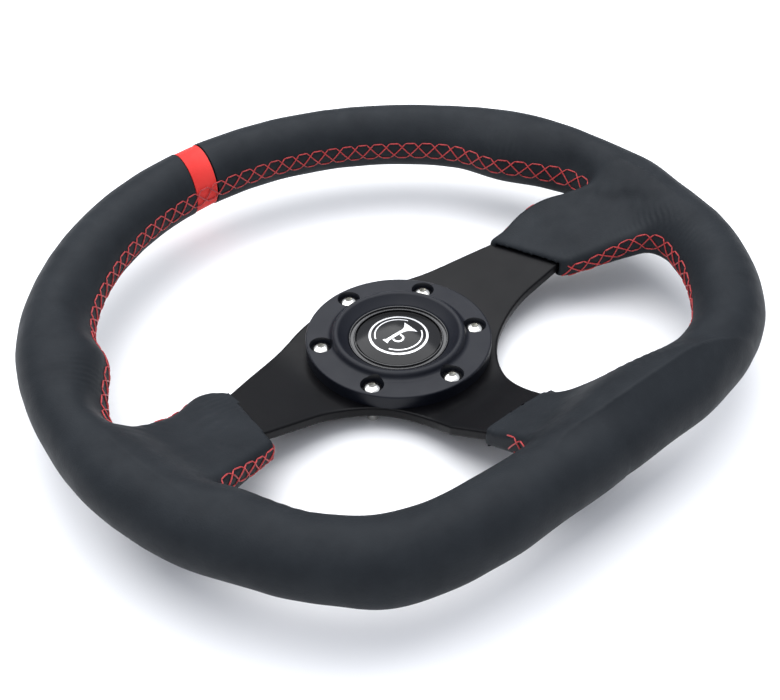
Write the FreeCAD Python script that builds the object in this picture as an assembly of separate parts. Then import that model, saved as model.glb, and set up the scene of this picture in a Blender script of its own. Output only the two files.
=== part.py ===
"""Flat-bottomed three-spoke sport steering wheel with a six-bolt hub and a sprung horn button.

Frame: millimetres. The origin is the centre of the bolt circle on the back face of the spoke
plate. +Z points along the steering axis towards the driver, +Y to twelve o'clock, +X to three.
"""
import FreeCAD
import Part
import math
import os
from FreeCAD import Vector

# ---- rim ---------------------------------------------------------------------------------
RIM_R = 146.0            # centreline radius of the round part of the rim
RIM_FLAT = 116.0         # centreline distance of the flat bottom from the steering axis
RIM_CORNER_R = 91.0      # centreline radius of the two bottom corners
RIM_Z = 27.5             # height of the rim centreline above the back of the hub
TUBE_R = 15.3            # outside radius of the leather-covered rim
LEATHER_T = 1.4          # leather thickness
BAND_R = 14.9            # outside radius of the centre band, a little below the leather
BAND_HALF = 6.5          # half width of the centre band
BAND_AT = (-9.0, 144.0)  # the band sits a little left of twelve o'clock
BAND_LEAN = -8.0         # degrees that the band leans from straight up
SEAM_Y = 46.0            # height of the seams between upper and side leather
LOWER_SEAM_Y = -78.0     # height of the seams between side and lower leather

# ---- spoke plate and hoop ----------------------------------------------------------------
PLATE_T = 5.0
FLAT_R = 44.0            # the plate is flat inside this radius and dished outside it
HOOP_IN = 8.0            # hoop's inner edge, inward of the rim centreline
HOOP_OUT = 7.0
TOP_ARC_R = 85.0         # convex top edge of the plate
TOP_Y = 43.0
TOP_JOIN_X = 36.0        # where the convex top edge turns concave
SPOKE_TOP_Y = 17.0       # top edge of a side spoke at the boot
SPOKE_LOW_Y = -15.0      # lower edge of a side spoke
FOOT_HALF = 19.5         # half width of the bottom spoke
ARC_R = 46.0             # concave arcs between side and bottom spokes
TOP_SAG = 0.7            # how far the concave top edge drops below its chord
HUB_HOLE_R = 25.0

# ---- leather boots over the spoke ends -----------------------------------------------------
SIDE_BOOT_TOP_X = 79.0   # boot edge at the top and at the bottom of a side spoke
SIDE_BOOT_LOW_X = 86.0
FOOT_BOOT_Y = -74.5
SIDE_BOOT_START = 70.0   # ends of the tapered side boot before its slanted cut
SIDE_BOOT_END = 138.0
SIDE_BOOT_FLARE = 8.0    # how much wider each side of the boot is at its rim end
FOOT_BOOT_END = 108.0
FOOT_BOOT_FLARE = 3.0
BOOT_PROUD = 3.0         # how far a boot stands off the plate, leather included
BOOT_WIDER = 2.0         # how far a boot stands off the plate's edges, leather included
BOOT_END_HALF_Z = 11.5   # half height of a boot where it enters the rim
BOOT_EDGE_R = 3.4

# ---- bolt circle and horn ring -------------------------------------------------------------
PCD_R = 35.0
BOLTS = 6
SCREW_R = 2.5            # M5 thread, standing out behind the plate
SHANK_R = 2.24           # plain shank inside the plate and the ring
THREAD_TOP = -0.3
SCREW_HOLE_R = 2.75
SCREW_LEN = 16.5
SCREW_CHAMFER = 0.5
HEAD_R = 4.7
HEAD_H = 2.75
HEAD_ROUND = 0.6         # how much flatter the head's dome is than a full cap
HEX_AF = 3.0
HEX_FLOOR = 0.9          # floor of the hexagon socket above the head's seat
RING_R = 41.6
RING_TOP = 11.5
CBORE_R = 5.2
CBORE_DEPTH = 3.0
RING_EDGE_R = 0.8
LIP_R = 28.0             # radius of the lip's crest
RING_BORE_R = 22.4

# ---- horn button -----------------------------------------------------------------------------
CUP_R = 22.2
CUP_WALL = 1.8
CUP_FLOOR = 1.8
CUP_TOP = 9.0
PUSH_FIT = 0.05
ORING_R = 0.75
ORING_Z = 7.2
BEZEL_R = 22.35
BEZEL_IN = 19.35
BEZEL_TOP = 10.5
BEAD_R = 0.4
SPIGOT_LOW = 7.8         # underside of the bezel's spigot, 0.3 above the cap's flange
CAP_R = 18.75
CAP_EDGE_Z = 9.9
CAP_APEX_Z = 12.3
CAP_WALL = 1.5
CAP_FLANGE_R = 20.1
CAP_FLANGE_Z = 6.4
CAP_FLANGE_TOP = 7.5
POST_R = 4.6             # post inside the spring
POST_LOW = 4.6
EMBLEM_R = 14.2
EMBLEM_T = 0.5
EMBLEM_RING_R = 13.4
EMBLEM_RING_W = 1.0
EMBLEM_RING_PROUD = 0.08
EMBLEM_RING_DEEP = 0.25
CONTACT_T = 0.8
CONTACT_OUT = 19.6
CONTACT_IN = 9.0
FIXED_TOP = 3.7
FIXED_T = 0.7
FIXED_OUT = 19.8
FIXED_IN = 11.2
INSULATOR_IN = 10.4
SPRING_R = 6.2
SPRING_WIRE_R = 0.4
SPRING_TURNS = 5
SPRING_GAP = 0.75        # spring's clearance below the underside of the cap
SEAT_OUT = 7.8
SEAT_IN = 3.8
SEAT_T = 0.5
BLADE_W = 6.3
BLADE_T = 0.8
BLADE_LOW = -6.5
BLADE_X = 14.5
BLADE_FOOT_T = 0.6
SIGNAL_REACH = 3.0       # length of the blade's foot under the fixed contact
GROUND_REACH = 9.8       # length of the blade's foot under the spring seat
RIVET_IN = 2.2           # rivets stand this far inside the blades
RIVET_R = 0.9
RIVET_HEAD_R = 1.6
RIVET_HEAD_T = 0.6

UP = Vector(0, 0, 1)
EXPORTS = []


def save(name, shape):
    """Write one named sub-part as its own STEP file."""
    shape.exportStep("parts/%s.step" % name)
    EXPORTS.append(name)
    print("%-20s solids %d  volume %10.1f  valid %s"
          % (name, len(shape.Solids), shape.Volume, shape.isValid()))


def disc(radius, low, high):
    return Part.makeCylinder(radius, high - low, Vector(0, 0, low))


def tube(outer, inner, low, high):
    return disc(outer, low, high).cut(disc(inner, low, high))


def block(x0, x1, y0, y1, z0, z1):
    return Part.makeBox(x1 - x0, y1 - y0, z1 - z0, Vector(x0, y0, z0))


def turned(points, arcs=None):
    """Solid of revolution about Z. points are (radius, height); arcs maps the index of a point
    to the middle point of the arc that leads to the next one."""
    arcs = arcs or {}
    spots = [Vector(r, 0, z) for r, z in points + points[:1]]
    edges = []
    for i, (start, end) in enumerate(zip(spots, spots[1:])):
        if i in arcs:
            middle = Vector(arcs[i][0], 0, arcs[i][1])
            edges.append(Part.Arc(start, middle, end).toShape())
        else:
            edges.append(Part.LineSegment(start, end).toShape())
    return Part.Face(Part.Wire(edges)).revolve(Vector(0, 0, 0), UP, 360)


def ring_of(make, count=BOLTS, first=90.0):
    """Copies of one solid spaced evenly on the bolt circle, the first at twelve o'clock."""
    angles = [math.radians(first + 360.0 * i / count) for i in range(count)]
    spots = [Vector(PCD_R * math.cos(a), PCD_R * math.sin(a), 0) for a in angles]
    return [make.translated(spot) for spot in spots]


# ---- rim outline -------------------------------------------------------------------------

def rim_edges(inset, z):
    """The rim's outline moved inward by inset: flat, corner arc, main arc, corner arc."""
    big = RIM_R - inset
    flat = RIM_FLAT - inset
    corner = RIM_CORNER_R - inset
    cy = -flat + corner
    cx = math.sqrt((big - corner) ** 2 - cy ** 2)
    turn = math.atan2(cy, cx)

    def at(x, y):
        return Vector(x, y, z)

    def on_corner(side, angle):
        return at(side * (cx + corner * math.cos(angle)), cy + corner * math.sin(angle))

    mid = (turn - math.pi / 2) / 2
    right_low, right_high = at(cx, -flat), on_corner(1, turn)
    left_low, left_high = at(-cx, -flat), on_corner(-1, turn)
    return [
        Part.LineSegment(left_low, right_low).toShape(),
        Part.Arc(right_low, on_corner(1, mid), right_high).toShape(),
        Part.Arc(right_high, at(0, big), left_high).toShape(),
        Part.Arc(left_high, on_corner(-1, mid), left_low).toShape(),
    ]


def rim_wire(inset, z):
    return Part.Wire(rim_edges(inset, z))


def rim_prism(inset, low, high):
    return Part.Face(rim_wire(inset, low)).extrude(Vector(0, 0, high - low))


def rim_tube(radius):
    """Round-section tube swept once around the rim outline."""
    path = rim_wire(0.0, RIM_Z)
    start = path.OrderedVertexes[0].Point
    section = Part.Wire([Part.Circle(start, Vector(1, 0, 0), radius).toShape()])
    return path.makePipeShell([section], True, False)


# ---- spoke plate -------------------------------------------------------------------------

def dish(lift):
    """Solid cup above the dished surface: flat to FLAT_R, then ruled up to the hoop."""
    edge_z = RIM_Z - PLATE_T / 2 + lift
    outer = rim_edges(HOOP_IN, edge_z)
    inner = []
    for edge in outer:
        middle = edge.valueAt((edge.FirstParameter + edge.LastParameter) / 2)
        ends = [edge.Vertexes[0].Point, middle, edge.Vertexes[-1].Point]
        spots = [Vector(p.x, p.y, 0).normalize() * FLAT_R + Vector(0, 0, lift) for p in ends]
        inner.append(Part.Arc(*spots).toShape())
    cup = Part.makeLoft([Part.Wire(inner), Part.Wire(outer)], True, True)
    return cup.fuse(rim_prism(HOOP_IN, edge_z, edge_z + PLATE_T))


def plate_outline():
    """Face of the hub plate with its three spokes, run out under the rim."""
    centre = TOP_Y - TOP_ARC_R
    join_y = centre + math.sqrt(TOP_ARC_R ** 2 - TOP_JOIN_X ** 2)
    reach = RIM_R
    foot = -RIM_FLAT
    arc_x = FOOT_HALF + ARC_R
    arc_y = SPOKE_LOW_Y - ARC_R
    lean = ARC_R * math.sqrt(0.5)
    mid_x = (TOP_JOIN_X + SIDE_BOOT_LOW_X) / 2
    mid_y = (join_y + SPOKE_TOP_Y) / 2 - TOP_SAG

    def half(side):
        def at(x, y):
            return Vector(side * x, y, 0)
        return [
            Part.Arc(at(TOP_JOIN_X, join_y), at(mid_x, mid_y), at(SIDE_BOOT_LOW_X, SPOKE_TOP_Y)),
            Part.LineSegment(at(SIDE_BOOT_LOW_X, SPOKE_TOP_Y), at(reach, SPOKE_TOP_Y)),
            Part.LineSegment(at(reach, SPOKE_TOP_Y), at(reach, SPOKE_LOW_Y)),
            Part.LineSegment(at(reach, SPOKE_LOW_Y), at(arc_x, SPOKE_LOW_Y)),
            Part.Arc(at(arc_x, SPOKE_LOW_Y), at(arc_x - lean, arc_y + lean), at(FOOT_HALF, arc_y)),
            Part.LineSegment(at(FOOT_HALF, arc_y), at(FOOT_HALF, foot)),
        ]

    top = Part.Arc(Vector(-TOP_JOIN_X, join_y, 0), Vector(0, TOP_Y, 0), Vector(TOP_JOIN_X, join_y, 0))
    base = Part.LineSegment(Vector(FOOT_HALF, foot, 0), Vector(-FOOT_HALF, foot, 0))
    curves = [top] + half(1) + [base] + half(-1)
    edges = Part.__sortEdges__([curve.toShape() for curve in curves])
    return Part.Face(Part.Wire(edges))


def spoke_frame():
    spokes = plate_outline().extrude(Vector(0, 0, RIM_Z + PLATE_T))
    dished = dish(0.0).cut(dish(PLATE_T)).common(spokes)
    low = RIM_Z - PLATE_T / 2
    hoop = rim_prism(-HOOP_OUT, low, low + PLATE_T).cut(rim_prism(HOOP_IN, low, low + PLATE_T))
    frame = dished.fuse(hoop).removeSplitter()
    frame = frame.cut(disc(HUB_HOLE_R, -1, PLATE_T + 1))
    for hole in ring_of(disc(SCREW_HOLE_R, -1, PLATE_T + 1)):
        frame = frame.cut(hole)
    return frame


# ---- boots, foam and leather -------------------------------------------------------------

def section_box(x, low_y, high_y, low_z, high_z, round_r):
    """Rounded rectangle in the plane at x, as a wire."""
    r = round_r
    q = r * (1 - math.sqrt(0.5))
    corners = [(low_y, low_z, 1, 1), (high_y, low_z, -1, 1), (high_y, high_z, -1, -1), (low_y, high_z, 1, -1)]
    edges = []
    for i, (y, z, sy, sz) in enumerate(corners):
        a = Vector(x, y, z + sz * r)
        b = Vector(x, y + sy * r, z)
        m = Vector(x, y + sy * q, z + sz * q)
        first, last = (a, b) if i % 2 == 0 else (b, a)
        edges.append(Part.Arc(first, m, last).toShape())
    joined = []
    for i, edge in enumerate(edges):
        joined.append(edge)
        a = edge.Vertexes[-1].Point
        b = edges[(i + 1) % 4].Vertexes[0].Point
        joined.append(Part.LineSegment(a, b).toShape())
    return Part.Wire(joined)


def boot_block(start, end, half_near, half_far, middle, skin):
    """Tapered sleeve over a spoke that runs along +X; skin insets it for the foam inside."""
    slope = (RIM_Z - PLATE_T / 2) / (end - FLAT_R)
    near_low = slope * (start - FLAT_R)
    off = BOOT_PROUD - skin
    round_r = BOOT_EDGE_R - skin
    near = section_box(start, middle - half_near + skin, middle + half_near - skin,
                       near_low - off, near_low + PLATE_T + off, round_r)
    far_half_z = BOOT_END_HALF_Z - skin
    far = section_box(end, middle - half_far + skin, middle + half_far - skin,
                      RIM_Z - far_half_z, RIM_Z + far_half_z, round_r)
    return Part.makeLoft([near, far], True, True)


def side_boot(side, skin):
    """Boot over a side spoke, cut to its slanted edge."""
    middle = (SPOKE_TOP_Y + SPOKE_LOW_Y) / 2
    half = (SPOKE_TOP_Y - SPOKE_LOW_Y) / 2 + BOOT_WIDER
    boot = boot_block(SIDE_BOOT_START, SIDE_BOOT_END, half, half + SIDE_BOOT_FLARE, middle, skin)
    top, low = SIDE_BOOT_TOP_X, SIDE_BOOT_LOW_X
    rise = (low - top) / (SPOKE_TOP_Y - SPOKE_LOW_Y)
    half_y = 2 * (half + SIDE_BOOT_FLARE)
    floor = -RIM_Z
    x0 = low + rise * (half_y + SPOKE_LOW_Y)
    x1 = low - rise * (half_y - SPOKE_LOW_Y)
    corners = [(x0, -half_y), (RIM_R, -half_y), (RIM_R, half_y), (x1, half_y), (x0, -half_y)]
    keep = Part.makePolygon([Vector(x, y, floor) for x, y in corners])
    boot = boot.common(Part.Face(keep).extrude(Vector(0, 0, 4 * RIM_Z)))
    return boot if side > 0 else boot.mirror(Vector(0, 0, 0), Vector(1, 0, 0))


def foot_boot(skin):
    """Boot over the bottom spoke."""
    half = FOOT_HALF + BOOT_WIDER
    boot = boot_block(-FOOT_BOOT_Y, FOOT_BOOT_END, half, half + FOOT_BOOT_FLARE, 0.0, skin)
    boot.rotate(Vector(0, 0, 0), UP, -90)
    return boot


def padded_rim(radius, skin):
    """Rim tube with the three boots, as one solid."""
    body = rim_tube(radius)
    for boot in (side_boot(1, skin), side_boot(-1, skin), foot_boot(skin)):
        body = body.fuse(boot)
    return body


def make_rim(frame):
    """Foam core and the leather panels, from the same rim shape."""
    outer = padded_rim(TUBE_R, 0.0)
    inner = padded_rim(TUBE_R - LEATHER_T, LEATHER_T)
    save("rim_core", inner.cut(frame))
    shell = outer.cut(inner).cut(frame)
    big = 200.0
    low, high = -10.0, 60.0
    band = rim_tube(BAND_R).cut(rim_tube(TUBE_R - LEATHER_T)).common(band_zone(-BAND_HALF, BAND_HALF))
    save("centre_band", band)
    upper = block(-big, big, SEAM_Y, big, low, high)
    zones = {
        "leather_upper_left": band_zone(-2 * big, -BAND_HALF).common(upper),
        "leather_upper_right": band_zone(BAND_HALF, 2 * big).common(upper),
        "leather_side_left": block(-big, 0, LOWER_SEAM_Y, SEAM_Y, low, high).cut(foot_zone(low, high)),
        "leather_side_right": block(0, big, LOWER_SEAM_Y, SEAM_Y, low, high).cut(foot_zone(low, high)),
        "leather_lower": block(-big, big, -big, LOWER_SEAM_Y, low, high).fuse(foot_zone(low, high)),
    }
    for name, zone in zones.items():
        save(name, shell.common(zone))


def band_zone(start, end):
    """Block between two planes across the rim, measured from the middle of the centre band."""
    reach = 60.0 if end - start < RIM_R else 2 * RIM_R
    zone = block(start, end, -reach, reach, -RIM_Z, 3 * RIM_Z)
    zone.rotate(Vector(0, 0, 0), UP, BAND_LEAN)
    return zone.translated(Vector(BAND_AT[0], BAND_AT[1], 0))


def foot_zone(low, high):
    return block(-40, 40, LOWER_SEAM_Y - 5, FOOT_BOOT_Y + 5, low, high)


# ---- hub ---------------------------------------------------------------------------------

def horn_ring():
    """Clamp ring: bolted flange, raised rounded lip and the slope down to the horn button."""
    foot_r, foot_rise = 2.2, math.radians(60)
    lip_r, flank = 1.9, 0.85
    lip_z = RING_TOP + foot_r * (1 - math.cos(foot_rise)) + flank * math.sin(foot_rise)
    lip_z -= lip_r * math.cos(foot_rise)
    flank_x = LIP_R + lip_r * math.sin(foot_rise)
    foot_x = flank_x + flank * math.cos(foot_rise) + foot_r * math.sin(foot_rise)

    def on_foot(angle):
        return (foot_x - foot_r * math.sin(angle), RING_TOP + foot_r * (1 - math.cos(angle)))

    def on_lip(degrees):
        a = math.radians(degrees)
        return (LIP_R + lip_r * math.cos(a), lip_z + lip_r * math.sin(a))

    inner_lip = on_lip(130)
    slope_end = (RING_BORE_R + 0.5, BEZEL_TOP + 0.1)
    slope_mid = ((inner_lip[0] + slope_end[0]) / 2 - 0.2, (inner_lip[1] + slope_end[1]) / 2 - 0.25)
    edge = RING_EDGE_R
    ease = edge * math.sqrt(0.5)
    points = [(RING_BORE_R, PLATE_T), (RING_R, PLATE_T), (RING_R, RING_TOP - edge),
              (RING_R - edge, RING_TOP), (foot_x, RING_TOP), on_foot(foot_rise),
              on_lip(30), inner_lip, slope_end, (RING_BORE_R, BEZEL_TOP - 0.5)]
    arcs = {2: (RING_R - edge + ease, RING_TOP - edge + ease), 4: on_foot(foot_rise / 2),
            6: on_lip(80), 7: slope_mid}
    ring = turned(points, arcs)
    for bore in ring_of(disc(CBORE_R, RING_TOP - CBORE_DEPTH, RING_TOP + 6)):
        ring = ring.cut(bore)
    for hole in ring_of(disc(SCREW_HOLE_R, PLATE_T - 1, RING_TOP)):
        ring = ring.cut(hole)
    return ring


def hub_screw():
    """Domed socket-head screw, its shank standing out behind the plate."""
    seat = RING_TOP - CBORE_DEPTH
    sphere_r = (HEAD_R ** 2 + HEAD_H ** 2) / (2 * HEAD_H) + HEAD_ROUND
    dome = Part.makeSphere(sphere_r, Vector(0, 0, seat + HEAD_H - sphere_r))
    head = disc(HEAD_R, seat, seat + HEAD_H).common(dome)
    corner = HEX_AF / math.sqrt(3)
    floor = seat + HEX_FLOOR
    angles = [math.radians(60.0 * i) for i in range(7)]
    hexagon = Part.makePolygon([Vector(corner * math.cos(a), corner * math.sin(a), floor) for a in angles])
    socket = Part.Face(hexagon).extrude(Vector(0, 0, HEAD_H))
    tip = seat - SCREW_LEN
    shank = turned([(0, tip), (SCREW_R - SCREW_CHAMFER, tip), (SCREW_R, tip + SCREW_CHAMFER),
                    (SCREW_R, THREAD_TOP), (SHANK_R, THREAD_TOP), (SHANK_R, seat), (0, seat)])
    return head.fuse(shank).removeSplitter().cut(socket)


def make_hub(frame):
    save("spoke_frame", frame)
    save("horn_ring", horn_ring())
    save("hub_screws", Part.makeCompound(ring_of(hub_screw())))


# ---- horn button -------------------------------------------------------------------------

def blade(side):
    """Spade terminal: an upright blade through the cup floor with a foot under its contact."""
    x = side * BLADE_X
    upright = block(x - BLADE_T / 2, x + BLADE_T / 2, -BLADE_W / 2, BLADE_W / 2, BLADE_LOW, CUP_FLOOR)
    end = x - side * (SIGNAL_REACH if side > 0 else GROUND_REACH)
    foot = block(min(x, end), max(x, end), -BLADE_W / 2, BLADE_W / 2, CUP_FLOOR - BLADE_FOOT_T, CUP_FLOOR)
    return upright.fuse(foot).removeSplitter()


def rivet(x, top):
    """Rivet up through the cup floor to the given height, its head below the cup."""
    return disc(RIVET_HEAD_R, -RIVET_HEAD_T, 0).fuse(disc(RIVET_R, 0, top)).translated(Vector(x, 0, 0))


def horn_cup(blades, rivets):
    """Moulded cup that carries the contacts, with a groove for its rubber ring."""
    cup = turned([(0, 0), (CUP_R, 0), (CUP_R, CUP_TOP), (CUP_R - CUP_WALL, CUP_TOP),
                  (CUP_R - CUP_WALL, CUP_FLOOR), (0, CUP_FLOOR)])
    cup = cup.cut(tube(CUP_R + 1, RING_BORE_R - 2 * ORING_R, ORING_Z - ORING_R, ORING_Z + ORING_R))
    for piece in blades + rivets:
        cup = cup.cut(piece)
    return cup


def horn_bezel():
    """Trim ring with two fine rounded beads, its spigot stopping the cap."""
    bead = BEAD_R
    low = BEZEL_TOP - bead
    spigot_r = CUP_R - CUP_WALL - PUSH_FIT
    outer, inner = BEZEL_R - bead, BEZEL_IN + bead
    points = [(BEZEL_IN, SPIGOT_LOW), (spigot_r, SPIGOT_LOW), (spigot_r, CUP_TOP), (BEZEL_R, CUP_TOP),
              (BEZEL_R, low), (outer - bead, low), (outer - bead, low - bead),
              (inner + bead, low - bead), (inner + bead, low), (BEZEL_IN, low)]
    return turned(points, {4: (outer, BEZEL_TOP), 8: (inner, BEZEL_TOP)})


def cap_sphere(drop):
    """Ball whose cap is the domed top of the button, lowered by drop."""
    rise = CAP_APEX_Z - CAP_EDGE_Z
    ball_r = (CAP_R ** 2 + rise ** 2) / (2 * rise)
    return Part.makeSphere(ball_r - drop, Vector(0, 0, CAP_APEX_Z - ball_r))


def horn_cap():
    """Domed push cap: skirt, retaining flange and a central post inside the spring."""
    solid = disc(CAP_R, CAP_FLANGE_Z, CAP_APEX_Z + 1).common(cap_sphere(0.0))
    hollow = disc(CAP_R - CAP_WALL, CAP_FLANGE_Z - 1, CAP_APEX_Z).common(cap_sphere(CAP_WALL))
    flange = tube(CAP_FLANGE_R, CAP_R - CAP_WALL, CAP_FLANGE_Z, CAP_FLANGE_TOP)
    post = disc(POST_R, POST_LOW, CAP_APEX_Z).common(cap_sphere(CAP_WALL / 2))
    cap = solid.cut(hollow).fuse(flange).fuse(post).removeSplitter()
    recess = disc(EMBLEM_R, CAP_FLANGE_Z, CAP_APEX_Z + 1).cut(cap_sphere(EMBLEM_T))
    return cap.cut(recess)


def emblem_disc(ring):
    """Thin domed disc let into the cap, with a groove for the inlaid ring."""
    lens = disc(EMBLEM_R, CAP_FLANGE_Z, CAP_APEX_Z + 1).common(cap_sphere(0.0)).cut(cap_sphere(EMBLEM_T))
    return lens.cut(ring)


def emblem_ring():
    """Bright inlaid ring around the emblem."""
    band = tube(EMBLEM_RING_R, EMBLEM_RING_R - EMBLEM_RING_W, CAP_FLANGE_Z, CAP_APEX_Z + 1)
    return band.common(cap_sphere(-EMBLEM_RING_PROUD)).cut(cap_sphere(EMBLEM_RING_DEEP))


def return_spring():
    """Round-wire compression spring between the seat washer and the cap."""
    low = CUP_FLOOR + SEAT_T + SPRING_WIRE_R
    high = CAP_APEX_Z - CAP_WALL - SPRING_GAP - SPRING_WIRE_R
    helix = Part.makeHelix((high - low) / SPRING_TURNS, high - low, SPRING_R)
    helix.translate(Vector(0, 0, low))
    section = Part.Wire([Part.Circle(Vector(SPRING_R, 0, low), Vector(0, 1, 0), SPRING_WIRE_R).toShape()])
    return Part.Wire(helix.Edges).makePipeShell([section], True, True)


def make_button():
    blades = [blade(1), blade(-1)]
    rivet_x = BLADE_X - RIVET_IN
    rivets = [rivet(rivet_x, FIXED_TOP), rivet(-rivet_x, CUP_FLOOR)]
    blades = [b.cut(r) for b, r in zip(blades, rivets)]
    save("signal_terminal", blades[0])
    save("ground_terminal", blades[1])
    save("terminal_rivets", Part.makeCompound(rivets))
    save("horn_cup", horn_cup(blades, rivets))
    ring_r = RING_BORE_R - ORING_R
    save("cup_o_ring", Part.makeTorus(ring_r, ORING_R, Vector(0, 0, ORING_Z)))
    save("horn_bezel", horn_bezel())
    insulator = tube(CUP_R - CUP_WALL, INSULATOR_IN, CUP_FLOOR, FIXED_TOP - FIXED_T)
    contact = tube(FIXED_OUT, FIXED_IN, FIXED_TOP - FIXED_T, FIXED_TOP)
    save("insulator_ring", insulator.cut(rivets[0]))
    save("fixed_contact", contact.cut(rivets[0]))
    save("spring_seat", tube(SEAT_OUT, SEAT_IN, CUP_FLOOR, CUP_FLOOR + SEAT_T))
    save("return_spring", return_spring())
    save("horn_cap", horn_cap())
    save("moving_contact", tube(CONTACT_OUT, CONTACT_IN, CAP_FLANGE_Z - CONTACT_T, CAP_FLANGE_Z))
    ring = emblem_ring()
    save("emblem_ring", ring)
    save("emblem_disc", emblem_disc(ring))


def main():
    os.makedirs("parts", exist_ok=True)
    frame = spoke_frame()
    make_hub(frame)
    make_rim(frame)
    make_button()
    print(len(EXPORTS), "sub-parts")


main()
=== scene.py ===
"""Looks of the flat-bottomed steering wheel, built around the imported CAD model.

The grip and the spoke plate are implicit shapes in millimetres, marched into meshes and cut into
panels. Everything that is linked to the scene is in metres, in the frame of the CAD.
"""
import math
import bmesh
import bpy
import numpy as np
import openvdb
from mathutils import Matrix, Vector

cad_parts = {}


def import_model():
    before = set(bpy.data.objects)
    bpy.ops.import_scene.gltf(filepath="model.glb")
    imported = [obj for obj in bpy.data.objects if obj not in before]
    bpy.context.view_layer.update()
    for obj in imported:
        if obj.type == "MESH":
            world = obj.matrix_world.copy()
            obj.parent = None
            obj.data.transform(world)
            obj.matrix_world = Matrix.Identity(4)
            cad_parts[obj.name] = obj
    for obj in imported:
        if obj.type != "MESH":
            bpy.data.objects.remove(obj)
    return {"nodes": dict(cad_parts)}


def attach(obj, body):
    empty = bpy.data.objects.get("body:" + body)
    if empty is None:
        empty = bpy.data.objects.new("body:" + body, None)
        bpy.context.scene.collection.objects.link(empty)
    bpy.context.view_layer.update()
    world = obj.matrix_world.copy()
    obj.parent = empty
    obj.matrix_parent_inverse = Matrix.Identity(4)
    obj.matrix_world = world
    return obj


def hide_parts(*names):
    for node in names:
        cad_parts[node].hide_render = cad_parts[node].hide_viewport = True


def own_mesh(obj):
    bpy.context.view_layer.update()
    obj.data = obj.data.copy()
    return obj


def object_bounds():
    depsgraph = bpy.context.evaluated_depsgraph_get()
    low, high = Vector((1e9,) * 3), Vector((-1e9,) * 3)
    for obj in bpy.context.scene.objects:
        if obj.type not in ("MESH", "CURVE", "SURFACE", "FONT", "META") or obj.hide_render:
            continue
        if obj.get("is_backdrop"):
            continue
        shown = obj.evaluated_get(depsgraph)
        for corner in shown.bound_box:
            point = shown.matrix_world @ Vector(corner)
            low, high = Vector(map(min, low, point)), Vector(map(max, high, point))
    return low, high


MM = 0.001

# ---- grip: rim centreline and tube ---------------------------------------------------------
RIM_R = 146.7
RIM_FLAT = 116.1
CORNER_R = 91.0
RIM_Z = 27.7
TUBE_R = 15.45
GRIP_LOW = (-168.0, -138.0, 2.0)       # box that holds the grip
GRIP_HIGH = (168.0, 168.0, 50.0)
CORNER_Y = CORNER_R - RIM_FLAT
CORNER_X = math.sqrt((RIM_R - CORNER_R) ** 2 - CORNER_Y ** 2)
CORNER_TURN = math.atan2(CORNER_Y, CORNER_X)

# hand-shaped bumps: station and spread (degrees), amount (mm), section angle and spread (degrees),
# and the side that has it: -1 left, 1 right, 0 both
BUMPS = [
    (24.0, 5.0, 3.8, 180.0, 60.0, -1),      # thumb bump above each side spoke
    (27.0, 6.5, 4.2, 180.0, 60.0, 1),
    (39.0, 8.5, -2.6, 135.0, 45.0, 0),      # thinner above it
    (9.0, 6.0, -5.2, 152.0, 52.0, 0),       # recess where the thumb rests on the boot
    (26.0, 15.0, 1.9, 45.0, 50.0, 0),
    (12.0, 14.0, 1.1, 55.0, 45.0, 1),
    (10.0, 10.0, -0.7, 20.0, 50.0, -1),
    (-3.0, 6.0, 1.3, 45.0, 50.0, 0),
    (-22.0, 6.0, 0.9, 45.0, 50.0, 1),
    (-52.0, 10.0, -1.2, 20.0, 45.0, 1),
    (-28.0, 6.0, -1.5, -45.0, 50.0, -1),
    (-25.0, 8.0, 3.2, 130.0, 45.0, -1),
    (-48.0, 6.0, 1.6, -45.0, 50.0, -1),
    (-58.0, 10.0, 1.9, -50.0, 50.0, -1),
    (-80.0, 16.0, -0.5, -45.0, 55.0, 1),
    (20.0, 9.0, 1.8, -150.0, 50.0, 0),      # fuller underneath, inside each grip
]
# sideways wander of the rim: station and spread (degrees), amount (mm)
SHIFTS = [(-46.0, 6.0, 1.0), (-62.0, 6.0, -1.2), (-86.0, 6.0, 0.5)]

# ---- leather boots over the spoke ends -----------------------------------------------------
PLATE_T = 5.0
FLAT_R = 44.0
SIDE_SLOPE = 0.266
FOOT_SLOPE = 0.390
BLEND_TOP = 5.0          # softness of the join between boots and rim, above and below a side spoke
BLEND_LOW = 9.0
BLEND_FOOT = 8.0
BLEND_FOOT_RIGHT = 22.0
BLEND_SIDE = (2.0, 5.0)                # y where the side blend changes, and how softly
BLEND_UNDER = (2.0, 6.0)               # x where the bottom one does
BOOT_STOP = 6.0          # boots end inside the tube, this far short of its centreline
BOOT_ROUND = 0.62        # edge radius as a share of a boot's half thickness

# pairs are left and right; a hump is its height, place and spread
BOOT_ABOVE = (4.7, 5.4)                # leather's top and underside from the middle of the plate
BOOT_BELOW = 4.3
BOOT_SWELL = (92.0, 6.0)               # where the side boots thicken towards the rim, and how softly
SWELL_ABOVE = 0.12
SWELL_BELOW = 0.04
BOOT_TOP = (6.9, 17.6)                 # upper edge of a side boot, before its humps
HUMP_LEFT = (11.0, 92.0, 15.5)
HUMP_RIGHT = (4.2, 98.0, 16.0)
LIP_RIGHT = (2.6, 77.0, 7.0)
DIP_RIGHT = (12.0, 119.0, 4.5)         # depth, place and softness of the hollow by the rim
BOOT_LOW = (-22.8, -16.6)              # lower edge, and how it flares towards the rim
BOOT_FLARE = (0.40, 0.60)
FLARE_START = (83.0, 3.0)
TOP_LEAN = 0.92          # cosines of the slant of a side boot's upper and lower edges
LOW_LEAN = 0.87
FOOT_ABOVE = 4.8
FOOT_BELOW = 4.5
FOOT_SWELL = (82.0, 4.0)
FOOT_SWELL_RATE = 0.22
FOOT_EDGE = (19.8, 16.8)               # edges of the bottom boot; the right one flares and slants
FOOT_FLARE = (79.0, 1.5)
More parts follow.
